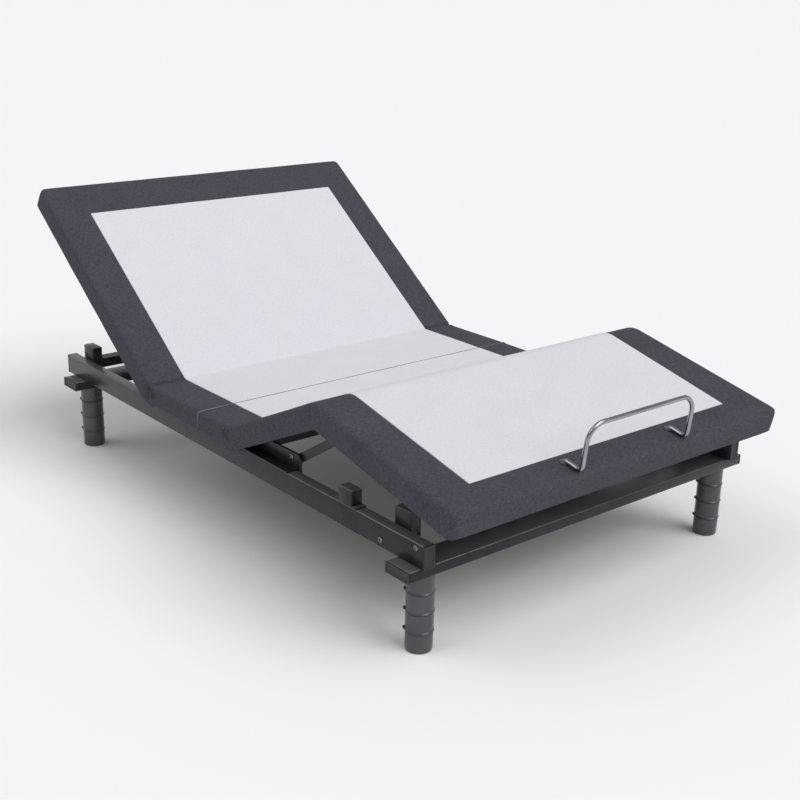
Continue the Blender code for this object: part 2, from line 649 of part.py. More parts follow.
def build():
    mats = {
        "steel": material("dark_steel", (0.036, 0.036, 0.040), 0.45, 0.4),
        "bright": material("bright_steel", (0.60, 0.60, 0.62), 0.25, 1.0),
        "alu": material("aluminium", (0.50, 0.50, 0.52), 0.35, 1.0),
        "plastic": material("leg_plastic", (0.045, 0.045, 0.050), 0.40),
        "rubber": material("rubber", (0.020, 0.020, 0.020), 0.80),
        "board": material("plywood", (0.50, 0.36, 0.22), 0.70),
        "border": material("dark_fabric", (0.055, 0.052, 0.070), 0.90),
        "panel": material("pale_fabric", (0.72, 0.71, 0.76), 0.85),
    }
    side_rails(mats["steel"])
    cross_tubes(mats["steel"])
    legs(mats["plastic"])
    posts(mats["steel"])
    rail_plates(mats["steel"])
    drive_bracket("head_drive_bracket", mats["steel"], MID_TUBES_Y["rear"], BACK_AXIS_Y, 1)
    drive_bracket("foot_drive_bracket", mats["steel"], MID_TUBES_Y["front"], THIGH_AXIS_Y, -1)
    seat(mats)
    back = back_section(mats)
    thigh = thigh_section(mats)
    knee = calf_section(mats, thigh)
    retainer_bar(mats, knee)
    calf_links(mats)
    drive("head", mats, back, 1, BACK_DRIVE_AT, BACK_ANGLE, 0.255, 0.185)
    drive("foot", mats, thigh, -1, THIGH_DRIVE_AT, THIGH_ANGLE, 0.195, 0.155)
    controls(mats)


clear_scene()
PARTS = new_collection(NAME)
CUTTERS = new_collection("cutters")
build()
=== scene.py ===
"""Adjustable bed base: upholstered covers, legs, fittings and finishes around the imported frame."""

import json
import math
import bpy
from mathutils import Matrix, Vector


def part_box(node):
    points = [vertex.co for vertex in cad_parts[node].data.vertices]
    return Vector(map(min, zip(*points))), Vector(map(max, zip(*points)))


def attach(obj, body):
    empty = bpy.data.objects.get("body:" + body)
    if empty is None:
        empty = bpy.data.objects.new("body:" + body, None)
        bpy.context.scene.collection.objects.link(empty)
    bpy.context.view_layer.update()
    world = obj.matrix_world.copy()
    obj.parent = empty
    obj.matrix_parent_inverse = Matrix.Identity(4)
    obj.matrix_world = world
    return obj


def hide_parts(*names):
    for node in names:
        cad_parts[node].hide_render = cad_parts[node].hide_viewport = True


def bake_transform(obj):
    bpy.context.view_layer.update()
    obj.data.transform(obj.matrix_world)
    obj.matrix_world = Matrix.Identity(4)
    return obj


bl_info = {
    "name": "Adjustable Bed Base",
    "version": (1, 0, 0),
    "blender": (4, 5, 0),
    "location": "3D View > Sidebar > Bed Base",
    "description": "Models the covers, legs, fittings and finishes of an adjustable bed base",
    "category": "Object",
}

import bmesh
import bpy
from bpy.props import FloatProperty, FloatVectorProperty, IntProperty, PointerProperty, StringProperty
from mathutils import Matrix, Vector, noise

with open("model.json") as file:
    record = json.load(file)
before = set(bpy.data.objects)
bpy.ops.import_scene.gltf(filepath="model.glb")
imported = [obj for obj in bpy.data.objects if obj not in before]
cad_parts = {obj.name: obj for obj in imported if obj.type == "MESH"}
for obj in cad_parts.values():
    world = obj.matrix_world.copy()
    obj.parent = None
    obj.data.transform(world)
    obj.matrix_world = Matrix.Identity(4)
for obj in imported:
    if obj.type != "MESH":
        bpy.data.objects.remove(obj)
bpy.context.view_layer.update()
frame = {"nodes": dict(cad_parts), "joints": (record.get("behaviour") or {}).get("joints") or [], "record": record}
NODES = frame["nodes"]
JOINTS = {joint["name"]: joint for joint in frame["joints"]}

# The section angles as the base stands, and the hinge lines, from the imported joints
BACK_ANGLE = math.radians(-JOINTS["back_hinge"]["range_deg"][0])
THIGH_ANGLE = math.radians(-JOINTS["thigh_hinge"]["range_deg"][0])
CALF_ANGLE = math.radians(12.31)
KNEE = Vector(JOINTS["knee_hinge"]["pos_m"])
HINGE_DEPTH = 0.0398              # from a lifting section's top down to its hinge line

# Folds and seam of the deck's top line, in Y, and the lengths of the sections
SEAT_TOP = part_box("rear_seat_panel")[1][2]
SEAT_SEAM = 0.0427
BACK_FOLD, THIGH_FOLD = 0.2692, -0.0854
BACK_LENGTH, THIGH_LENGTH, CALF_LENGTH = 0.6946, 0.3601, 0.4475
CALF_SPLIT = 0.075                # from the knee up the thigh to the butt seam in the cloth

# Two points across each fold, where cloth over it would start to follow the moving section and where it would
# follow it wholly; nothing in the script uses them
BACK_BEND = ((0, BACK_FOLD - 0.012, SEAT_TOP), (0, BACK_FOLD + 0.030, SEAT_TOP))
THIGH_BEND = ((0, THIGH_FOLD + 0.012, SEAT_TOP), (0, THIGH_FOLD - 0.030, SEAT_TOP))
KNEE_BEND = ((0, KNEE.y + 0.035, 0.43), (0, KNEE.y - 0.035, 0.43))

# How cloth is shaped: rings down a side, close rows by a rim, the depth that it is pulled in
# along a fold, and the pleats by a fold as (fold, distance from it, strength)
SIDE_RINGS = (0.0030, 0.0035, 0.0035, 0.0040, 0.0060, 0.0080, 0.0100, 0.0100, 0.0060)
RIM_STEP, RIM_ROWS = 0.0032, 4
CREASES = {"back": 0.0042, "thigh": 0.0012}
CREASE_WIDTH = 0.0042
PLEATS = (("back", -0.019, 0.9), ("back", -0.005, 1.1), ("back", 0.009, 0.8), ("thigh", 0.019, 1.0),
          ("thigh", 0.007, 0.85), ("knee", 0.030, 0.9), ("knee", 0.018, 0.6))
PLEAT_DEPTH, PLEAT_SLANT = 0.0072, 0.22
PLEAT_PINCH, PLEAT_SWELL = 0.0034, 0.0070    # widths of a pleat's line and of the swell beside it
PLEAT_LENGTH = 0.036                         # down the side from the top edge
BELLY, WAVE, RIPPLE = 0.0012, 0.0010, 0.0008

# Fittings: lip of a leg segment as (height from the joint, past the leg's radius), bolts on
# the rails as (y, z), and the stub brackets' upright and foot plate
LEG_LIP = ((-0.0026, -0.0002), (-0.0018, -0.0004), (-0.0014, -0.0016), (-0.0006, -0.0016),
           (-0.0002, 0.0008), (0.0004, 0.0016), (0.0014, 0.0016), (0.0036, 0.0001))
RAIL_BOLTS = ((-0.628, 0.2105), (-0.735, 0.2340))
STUB_UPRIGHT, STUB_BASE = 0.045, 0.003
RIGHT_ANGLE = math.radians(90)

# The record's material slots and the finish that each one gets
SLOT_FINISHES = {"dark_steel": "steel", "bright_steel": "zinc", "aluminium": "aluminium",
                 "leg_plastic": "cap", "rubber": "rubber", "plywood": "board",
                 "dark_fabric": "cover", "pale_fabric": "panel"}

# Suns of the studio: name, direction towards it, strength and spread in degrees
SUNS = (("key", (0.40, -0.95, 1.30), 1.95, 50.0), ("rim", (-0.75, 0.45, 1.15), 0.55, 40.0))


# ---------------------------------------------------------------- small helpers

def linear(colour_hex):
    """An sRGB hex value as the linear colour that shaders take."""
    parts = [int(colour_hex[i:i + 2], 16) / 255 for i in (1, 3, 5)]
    return (*(c / 12.92 if c <= 0.04045 else ((c + 0.055) / 1.055) ** 2.4 for c in parts), 1.0)


def deselect_all():
    if bpy.context.object and bpy.context.object.mode != "OBJECT":
        bpy.ops.object.mode_set(mode="OBJECT")
    bpy.ops.object.select_all(action="DESELECT")


def activate(obj):
    deselect_all()
    obj.select_set(True)
    bpy.context.view_layer.objects.active = obj


def edit(obj, kind="FACE"):
    """Opens a piece in edit mode with nothing selected."""
    activate(obj)
    bpy.ops.object.mode_set(mode="EDIT")
    bpy.ops.mesh.select_mode(type=kind)
    bpy.ops.mesh.select_all(action="DESELECT")


def pick(obj, kind, test):
    """Selects the faces, edges or verts of the open piece for which test is true."""
    bm = bmesh.from_edit_mesh(obj.data)
    bm.normal_update()
    for item in getattr(bm, kind):
        item.select = False
    for item in getattr(bm, kind):
        if test(item):
            item.select = True
    bm.select_flush_mode()
    bmesh.update_edit_mesh(obj.data)


def settle():
    """Applies the active piece's place, turn and size to its mesh."""
    bpy.ops.object.transform_apply(location=True, rotation=True, scale=True)


def done(obj, name, smooth_angle=35):
    """Names a piece, applies its place and shades it."""
    activate(obj)
    obj.name = name
    obj.data.name = name
    settle()
    bpy.ops.object.shade_smooth_by_angle(angle=math.radians(smooth_angle))
    return obj


def apply_modifier(obj, kind, **settings):
    activate(obj)
    step = obj.modifiers.new(kind.title(), kind)
    for key, value in settings.items():
        setattr(step, key, value)
    bpy.ops.object.modifier_apply(modifier=step.name)


def paint(obj, mat):
    obj.data.materials.clear()
    obj.data.materials.append(mat)
    return obj


def copied(obj, name, matrix):
    """A copy with its own mesh, which the matrix moves."""
    twin = obj.copy()
    twin.data = obj.data.copy()
    twin.name = name
    twin.data.name = name
    bpy.context.scene.collection.objects.link(twin)
    twin.data.transform(matrix)
    return twin


def joined(objects):
    """The first piece with the others joined to it."""
    deselect_all()
    for obj in objects:
        obj.select_set(True)
    bpy.context.view_layer.objects.active = objects[0]
    bpy.ops.object.join()
    return objects[0]


def box_piece(centre, size, bevel=0.0, segments=2):
    """A box with all its edges rounded, as the start of a small fitting."""
    deselect_all()
    bpy.ops.mesh.primitive_cube_add(size=1.0, location=centre)
    obj = bpy.context.object
    bpy.ops.object.mode_set(mode="EDIT")
    bpy.ops.transform.resize(value=size)
    if bevel:
        bpy.ops.mesh.select_all(action="SELECT")
        bpy.ops.mesh.bevel(offset=bevel, segments=segments, affect="EDGES")
    bpy.ops.object.mode_set(mode="OBJECT")
    return obj


def box_of(node):
    """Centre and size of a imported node."""
    low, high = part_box(node)
    return [(a + b) / 2 for a, b in zip(low, high)], [b - a for a, b in zip(low, high)]


def pull(*move):
    """Extrudes what is selected by a move."""
    bpy.ops.mesh.extrude_region_move(TRANSFORM_OT_translate={"value": move})


def round_sharp(obj, width, segments, angle):
    """Rounds the edges that are sharper than an angle in degrees."""
    apply_modifier(obj, "BEVEL", width=width, segments=segments, limit_method="ANGLE",
                   angle_limit=math.radians(angle))


def open_ring(radius, vertices, place):
    """An open ring, all selected in edit mode: the start of half a bent rod."""
    deselect_all()
    bpy.ops.mesh.primitive_circle_add(vertices=vertices, radius=radius, fill_type="NOTHING", location=place)
    rod = bpy.context.object
    settle()
    edit(rod, "VERT")
    bpy.ops.mesh.select_all(action="SELECT")
    return rod


def whole_rod(rod, top):
    """Mirrors half a bent rod across the middle and closes its two ends."""
    bpy.ops.object.mode_set(mode="OBJECT")
    inmost = min(v.co.x for v in rod.data.vertices)
    highest = max(v.co.z for v in rod.data.vertices)
    if abs(inmost) > 0.001 or abs(highest - top) > 0.004:
        raise RuntimeError(f"a rod is bent the wrong way: {inmost:.4f} {highest:.4f}")
    apply_modifier(rod, "MIRROR", use_axis=(True, False, False), merge_threshold=0.0001)
    edit(rod, "EDGE")
    pick(rod, "edges", lambda e: e.is_boundary)
    bpy.ops.mesh.edge_face_add()
    bpy.ops.mesh.select_all(action="SELECT")
    bpy.ops.mesh.remove_doubles(threshold=0.00005)
    bpy.ops.mesh.normals_make_consistent(inside=False)
    bpy.ops.object.mode_set(mode="OBJECT")


# ---------------------------------------------------------------- materials

CLOUD = 0.09                      # size of the slow changes of shade in cloth


def add(tree, kind, inputs=None, links=None, **settings):
    """Adds one node with its settings, input values and incoming links."""
    node = tree.nodes.new(kind)
    for key, value in settings.items():
        setattr(node, key, value)
    for key, value in (inputs or {}).items():
        node.inputs[key].default_value = value
    for key, socket in (links or {}).items():
        tree.links.new(socket, node.inputs[key])
    return node


def new_material(name, **shader_inputs):
    mat = bpy.data.materials.new(name)
    mat.use_nodes = True
    shader = mat.node_tree.nodes["Principled BSDF"]
    for key, value in shader_inputs.items():
        shader.inputs[key.replace("_", " ")].default_value = value
    return mat, mat.node_tree, shader


def ramp(tree, fac, stops):
    node = add(tree, "ShaderNodeValToRGB", links={"Fac": fac})
    node.color_ramp.elements[0].position, node.color_ramp.elements[0].color = stops[0]
    node.color_ramp.elements[1].position, node.color_ramp.elements[1].color = stops[1]
    return node


def woven(name, dark, light, thread, roughness, sheen, bump, slub):
    """Woven polyester: two sets of yarns, uneven in thickness and shade, on the cloth's own map."""
    mat, tree, shader = new_material(name, Roughness=roughness, Sheen_Weight=sheen, Sheen_Roughness=0.45)
    shader.inputs["Specular IOR Level"].default_value = 0.25
    uv = add(tree, "ShaderNodeUVMap", uv_map="weave")
    yarns = []
    for along in ((1 / slub, 1 / thread, 1.0), (1 / thread, 1 / slub, 1.0)):
        place = add(tree, "ShaderNodeMapping", {"Scale": along}, {"Vector": uv.outputs["UV"]})
        yarns.append(add(tree, "ShaderNodeTexNoise", {"Scale": 1.0, "Detail": 2.0, "Roughness": 0.6},
                         {"Vector": place.outputs["Vector"]}))
    cross = add(tree, "ShaderNodeMath", links={0: yarns[0].outputs["Fac"], 1: yarns[1].outputs["Fac"]},
                operation="ADD")
    place = add(tree, "ShaderNodeMapping", {"Scale": (1 / CLOUD, 1 / CLOUD, 1.0)},
                {"Vector": uv.outputs["UV"]})
    cloud = add(tree, "ShaderNodeTexNoise", {"Scale": 1.0, "Detail": 3.0},
                {"Vector": place.outputs["Vector"]})
    shade = add(tree, "ShaderNodeMath", {1: 0.22}, {0: cloud.outputs["Fac"]}, operation="MULTIPLY")
    both = add(tree, "ShaderNodeMath", links={0: cross.outputs[0], 1: shade.outputs[0]}, operation="ADD")
    tone = add(tree, "ShaderNodeMapRange", {"From Min": 0.78, "From Max": 1.44}, {"Value": both.outputs[0]})
    colour = ramp(tree, tone.outputs[0], ((0.0, linear(dark)), (1.0, linear(light))))
    tree.links.new(colour.outputs["Color"], shader.inputs["Base Color"])
    lift = add(tree, "ShaderNodeBump", {"Strength": 0.55, "Distance": bump}, {"Height": cross.outputs[0]})
    tree.links.new(lift.outputs["Normal"], shader.inputs["Normal"])
    return mat


def coated(name, dark, light, roughness, metallic, grain, bump, coat=0.0, specular=0.5):
    """Paint, plastic or metal with a fine uneven surface on Object coordinates."""
    mat, tree, shader = new_material(name, Roughness=roughness, Metallic=metallic, Coat_Weight=coat)
    shader.inputs["Specular IOR Level"].default_value = specular
    shader.inputs["Coat Roughness"].default_value = 0.25
    where = add(tree, "ShaderNodeTexCoord")
    fine = add(tree, "ShaderNodeTexNoise", {"Scale": 1 / grain, "Detail": 2.0},
               {"Vector": where.outputs["Object"]})
    wide = add(tree, "ShaderNodeTexNoise", {"Scale": 14.0, "Detail": 4.0},
               {"Vector": where.outputs["Object"]})
    colour = ramp(tree, wide.outputs["Fac"], ((0.32, linear(dark)), (0.68, linear(light))))
    tree.links.new(colour.outputs["Color"], shader.inputs["Base Color"])
    gloss = add(tree, "ShaderNodeMapRange", {"To Min": roughness - 0.05, "To Max": roughness + 0.07},
                {"Value": wide.outputs["Fac"]})
    tree.links.new(gloss.outputs[0], shader.inputs["Roughness"])
    lift = add(tree, "ShaderNodeBump", {"Strength": 0.35, "Distance": bump}, {"Height": fine.outputs["Fac"]})
    tree.links.new(lift.outputs["Normal"], shader.inputs["Normal"])
    return mat


def plywood(name):
    """Thin plywood, sanded and raw: long soft grain across the board."""
    mat, tree, shader = new_material(name, Roughness=0.68)
    where = add(tree, "ShaderNodeTexCoord")
    place = add(tree, "ShaderNodeMapping", {"Scale": (3.0, 90.0, 90.0)}, {"Vector": where.outputs["Object"]})
    grain = add(tree, "ShaderNodeTexNoise", {"Scale": 1.0, "Detail": 5.0, "Distortion": 0.6},
                {"Vector": place.outputs["Vector"]})
    colour = ramp(tree, grain.outputs["Fac"], ((0.30, linear("#6F665A")), (0.72, linear("#938A7B"))))
    tree.links.new(colour.outputs["Color"], shader.inputs["Base Color"])
    lift = add(tree, "ShaderNodeBump", {"Strength": 0.3, "Distance": 0.0002},
               {"Height": grain.outputs["Fac"]})
    tree.links.new(lift.outputs["Normal"], shader.inputs["Normal"])
    return mat


MATERIALS = {}


def make_materials(colours):
    """Every finish of the base, by name.

    The numbers of a weave are thread, roughness, sheen, bump and slub, and those of a coating
    roughness, metal, grain and bump, then clear coat and specular where they matter.
    """
    # Heathered upholstery weave. Real yarns are 0.5 mm; drawn at 1.4 mm so that they show.
    MATERIALS["cover"] = woven("heathered_polyester", colours.cover_dark, colours.cover_light,
                               0.0014, 0.93, 0.02, 0.0003, 0.011)
    # Pale cloth over the boards: close, almost flat
    MATERIALS["panel"] = woven("pale_polyester_cloth", colours.panel_dark, colours.panel_light,
                               0.0012, 0.88, 0.05, 0.0002, 0.009)
    # Piping: a real bead, drawn paler than the cover as a painted highlight along the seam
    MATERIALS["thread"] = coated("polyester_thread", "#5A5963", "#73727D", 0.85, 0.0, 0.0006, 0.0002)
    # Powder-coated steel: satin, with a fine orange peel of about 1 mm
    MATERIALS["steel"] = coated("powder_coated_steel", colours.steel_dark, colours.steel_light,
                                0.27, 0.04, 0.0011, 0.00006, 0.0, 0.26)
    # The same coating drawn paler and glossier on the rolled edges that face up: a painted highlight, a pale line
    # along them
    MATERIALS["edge"] = coated("powder_coated_steel_edge", "#6C6C70", "#7C7C80", 0.30, 0.3, 0.0011, 0.00004)
    # and a paler copy on the flat tops of the tubes: painted light, the tops drawn as lit from above
    MATERIALS["top"] = coated("powder_coated_steel_top", "#5C5C60", "#68686C", 0.34, 0.1, 0.0011, 0.00006)
    # Injection-moulded ABS legs: satin skin that picks up long highlights
    MATERIALS["leg"] = coated("moulded_abs", colours.leg_dark, colours.leg_light,
                              0.28, 0.25, 0.0014, 0.00003, 0.2, 0.4)
    # Plain black moulded caps and housings
    MATERIALS["cap"] = coated("moulded_polypropylene", "#1B1B1E", "#26262A", 0.50, 0.0, 0.0012, 0.00006)
    MATERIALS["rubber"] = coated("moulded_rubber", "#141416", "#1D1D20", 0.80, 0.0, 0.0009, 0.0001)
    # Chrome on bent steel rod: clear reflections with faint drawing lines
    MATERIALS["chrome"] = coated("chrome_plated_steel", "#8F9095", "#A6A7AC", 0.16, 1.0, 0.0015, 0.00001)
    MATERIALS["zinc"] = coated("zinc_plated_steel", "#77787B", "#8E8F92", 0.33, 1.0, 0.0010, 0.00004)
    MATERIALS["aluminium"] = coated("drawn_aluminium", "#A5A6A9", "#BBBCBF", 0.32, 1.0, 0.0012, 0.00003)
    MATERIALS["board"] = plywood("sanded_plywood")


# ---------------------------------------------------------------- the deck's top line

class TopLine:
    """The deck's top seen from the side: straight runs joined by rounded folds.

    Length 0 is the seat seam, positive towards the head. at() gives Y, Z and the slope.
    """

    FOLD_STEPS = 16

    def __init__(self, lift, radii):
        thigh_fold, back_fold = Vector((THIGH_FOLD, SEAT_TOP)), Vector((BACK_FOLD, SEAT_TOP))
        knee = thigh_fold + THIGH_LENGTH * Vector((-math.cos(THIGH_ANGLE), math.sin(THIGH_ANGLE)))
        foot = knee - CALF_LENGTH * Vector((math.cos(CALF_ANGLE), math.sin(CALF_ANGLE)))
        head = back_fold + BACK_LENGTH * Vector((math.cos(BACK_ANGLE), math.sin(BACK_ANGLE)))
        line = [foot, knee, thigh_fold, back_fold, head]
        self.lift = lift
        self.table = [(0.0, foot, CALF_ANGLE)]
        marks = {}
        last = foot
        for i, name in enumerate(("knee", "thigh", "back"), 1):
            into, out = (line[i] - line[i - 1]).normalized(), (line[i + 1] - line[i]).normalized()
            turn = math.atan2(into.x * out.y - into.y * out.x, into.dot(out))
            radius = radii[name]
            tangent = radius * math.tan(abs(turn) / 2)
            first = line[i] - into * tangent
            heading = math.atan2(into.y, into.x)
            length = self.run(last, first, heading)
            side = 1.0 if turn > 0 else -1.0
            centre = first + side * radius * Vector((-into.y, into.x))
            for k in range(1, self.FOLD_STEPS + 1):
                angle = heading + turn * k / self.FOLD_STEPS
                spot = centre - side * radius * Vector((-math.sin(angle), math.cos(angle)))
                length += radius * abs(turn) / self.FOLD_STEPS
                self.table.append((length, spot, angle))
            marks[name] = length - radius * abs(turn) / 2
            last = line[i] + out * tangent
        self.run(last, head, BACK_ANGLE)
        seam = next(s + (SEAT_SEAM - p.x) for s, p, _ in self.table
                    if abs(p.y - SEAT_TOP) < 1e-4 and p.x > THIGH_FOLD)
        self.table = [(s - seam, p, a) for s, p, a in self.table]
        self.marks = {name: s - seam for name, s in marks.items()}
        self.foot, self.head = self.table[0][0], self.table[-1][0]

    def run(self, a, b, heading):
        """Adds a straight run to the table and gives the length up to its end."""
        length = self.table[-1][0] + (b - a).length
        self.table.append((length, b, heading))
        return length

    def at(self, s):
        """Y, Z and slope at a length, straight on past either end."""
        table = self.table
        if not self.foot < s < self.head:
            end, p, a = table[0] if s <= self.foot else table[-1]
            return p + (s - end) * Vector((math.cos(a), math.sin(a))), a
        low, high = 0, len(table) - 1
        while high - low > 1:
            mid = (low + high) // 2
            if table[mid][0] <= s:
                low = mid
            else:
                high = mid
        s0, p0, a0 = table[low]
        s1, p1, a1 = table[high]
        t = (s - s0) / max(s1 - s0, 1e-9)
        return p0.lerp(p1, t), a0 + (a1 - a0) * t

    def place(self, x, s, depth):
        """World point for a flat one: x across, s along the cloth, depth below its top."""
        spot, angle = self.at(s)
        out = depth - self.lift
        return Vector((x, spot.x + out * math.sin(angle), spot.y - out * math.cos(angle)))


def lay_out(obj):
    """Stores the flat cut, with its sides folded out, as the weave map."""
    mesh = obj.data
    weave = mesh.uv_layers.get("weave") or mesh.uv_layers.new(name="weave")
    for poly in mesh.polygons:
        normal = poly.normal
        for index in poly.loop_indices:
            p = mesh.vertices[mesh.loops[index].vertex_index].co
            if abs(normal.x) > 0.7:
                weave.data[index].uv = (math.copysign(abs(p.x) - p.z, p.x), p.y)
            elif abs(normal.y) > 0.7:
                weave.data[index].uv = (p.x, p.y - p.z * math.copysign(1.0, normal.y))
            else:
                weave.data[index].uv = (p.x, p.y)


def wrap(obj, line):
    """Bends a flat piece along the deck's top line."""
    for vert in obj.data.vertices:
        vert.co = line.place(vert.co.x, vert.co.y, -vert.co.z)
    obj.data.update()


# ---------------------------------------------------------------- settings

class BedColours(bpy.types.PropertyGroup):
    cover_dark: StringProperty(name="Cover, dark yarn", description="Darkest yarn of the cover",
                               default="#2D2C34")
    cover_light: StringProperty(name="Cover, light yarn", description="Lightest yarn of the cover",
                                default="#52515B")
    panel_dark: StringProperty(name="Panel, dark yarn", description="Darkest yarn of the panels",
                               default="#C9C8CF")
    panel_light: StringProperty(name="Panel, light yarn", description="Lightest yarn of the panels",
                                default="#DCDBE1")
    steel_dark: StringProperty(name="Steel, dark", description="Darker tone of the coated steel",
                               default="#1F1F22")
    steel_light: StringProperty(name="Steel, light", description="Lighter tone of the coated steel",
                                default="#2A2A2E")
    leg_dark: StringProperty(name="Leg, dark", description="Darker tone of the legs", default="#47474B")
    leg_light: StringProperty(name="Leg, light", description="Lighter tone of the legs", default="#4F4F54")


class BedCovers(bpy.types.PropertyGroup):
    half_width: FloatProperty(name="Half width", description="Half the deck's width", default=0.495,
                              unit="LENGTH")
    lift: FloatProperty(name="Lift", description="Padding under the cloth", default=0.0012, unit="LENGTH")
    edge: FloatProperty(name="Edge radius", description="Rounding of the top edge", default=0.0105,
                        unit="LENGTH")
    corner: FloatProperty(name="Corner radius", description="Rounding in plan", default=0.018,
                          unit="LENGTH")
    cloth: FloatProperty(name="Cloth", description="Thickness of the cloth", default=0.0020, unit="LENGTH")
    depth: FloatProperty(name="Side depth", description="Top to bottom of the sides", default=0.055,
                         unit="LENGTH")
    seat_depth: FloatProperty(name="Seat depth", description="Side depth at the seat", default=0.043,
                              unit="LENGTH")
    border: FloatProperty(name="Border", description="Dark border at the sides", default=0.100,
                          unit="LENGTH")
    head_border: FloatProperty(name="Head border", description="Border at the head", default=0.112,
                               unit="LENGTH")
    foot_border: FloatProperty(name="Foot border", description="Border at the foot", default=0.074,
                               unit="LENGTH")
    knee_radius: FloatProperty(name="Knee radius", description="Bend over the knee", default=0.062,
                               unit="LENGTH")
    fold_radius: FloatProperty(name="Fold radius", description="Bend in the folds", default=0.012,
                               unit="LENGTH")
    panel_proud: FloatProperty(name="Panel height", description="Panel above the border", default=0.0016,
                               unit="LENGTH")


class BedFittings(bpy.types.PropertyGroup):
    leg_segments: IntProperty(name="Leg segments", description="Screwed-on segments of a leg", default=4)
    cap: FloatProperty(name="Cap thickness", description="Plastic end caps", default=0.003, unit="LENGTH")
    tube_edge: FloatProperty(name="Tube edge", description="Rounding of the steel tubes", default=0.0030,
                             unit="LENGTH")
    bar: FloatProperty(name="Bar radius", description="Mattress bar", default=0.0050, unit="LENGTH")


class BedStage(bpy.types.PropertyGroup):
    place: FloatVectorProperty(name="Camera place", description="Where the camera stands",
                               default=(-1.91085, -2.37619, 1.28772), subtype="TRANSLATION")
    yaw: FloatProperty(name="Yaw", description="Camera heading", default=math.radians(39.979),
                       subtype="ANGLE")
    pitch: FloatProperty(name="Pitch", description="Camera tilt down", default=math.radians(19.179),
                         subtype="ANGLE")
    roll: FloatProperty(name="Roll", description="Camera roll", default=math.radians(1.413),
                        subtype="ANGLE")
    lens: FloatProperty(name="Lens", description="Focal length in mm", default=56.96)


# ---------------------------------------------------------------- covers

def stations(low, high, places):
    """Positions from low to high, close together near the folds and far apart elsewhere."""
    step, fine, reach = 0.011, 0.0024, 0.030
    out, at = [low], low
    while at < high - 1e-6:
        near = min(abs(at - place) for place in places)
        at += fine if near < reach else step
        out.append(at)
    scale = (high - low) / (out[-1] - low)
    return [low + (value - low) * scale for value in out]


def flat_cover(name, low, high, closed, covers, line):
    """A flat cut with hanging sides: a grid with its rims pulled down, shaped and given thickness.

    Its end hangs down too where closed is 1, at high, or -1, at low.
    """
    half = covers.half_width
    rim_steps = [RIM_STEP * i for i in range(RIM_ROWS)]
    reach = RIM_ROWS * RIM_STEP
    rows = stations(low + (reach if closed < 0 else 0), high - (reach if closed > 0 else 0),
                    line.marks.values())
    if closed < 0:
        rows = [low + step for step in rim_steps] + rows
    if closed > 0:
        rows += [high - step for step in reversed(rim_steps)]
    across = 22
    inner = [(half - reach) * i / across for i in range(across + 1)]
    inner += [half - step for step in reversed(rim_steps)]
    columns = [-x for x in reversed(inner[1:])] + inner
    deselect_all()
    bpy.ops.mesh.primitive_grid_add(x_subdivisions=len(columns) - 1, y_subdivisions=len(rows) - 1, size=1.0)
    obj = bpy.context.object
    for vert in obj.data.vertices:
        i = round((vert.co.x + 0.5) * (len(columns) - 1))
        j = round((vert.co.y + 0.5) * (len(rows) - 1))
        vert.co = (columns[i], rows[j], 0.0)
    edit(obj, "EDGE")
    end = high if closed > 0 else low

    def rim(edge):
        if not edge.is_boundary:
            return False
        a, b = (v.co for v in edge.verts)
        if min(abs(a.x), abs(b.x)) > half - 1e-4:
            return True
        return closed != 0 and max(abs(a.y - end), abs(b.y - end)) < 1e-4

    pick(obj, "edges", rim)
    for ring in SIDE_RINGS:
        drop = ring * covers.depth / sum(SIDE_RINGS)
        bpy.ops.mesh.extrude_edges_move(TRANSFORM_OT_translate={"value": (0, 0, -drop)})
    bpy.ops.object.mode_set(mode="OBJECT")
    lay_out(obj)
    soften(obj, covers, line, end if closed else None, closed)
    wrap(obj, line)
    apply_modifier(obj, "SUBSURF", levels=1, render_levels=1, boundary_smooth="PRESERVE_CORNERS")
    apply_modifier(obj, "SOLIDIFY", thickness=covers.cloth, offset=-1.0, use_even_offset=False)
    done(obj, name, 60)
    return paint(obj, MATERIALS["cover"])


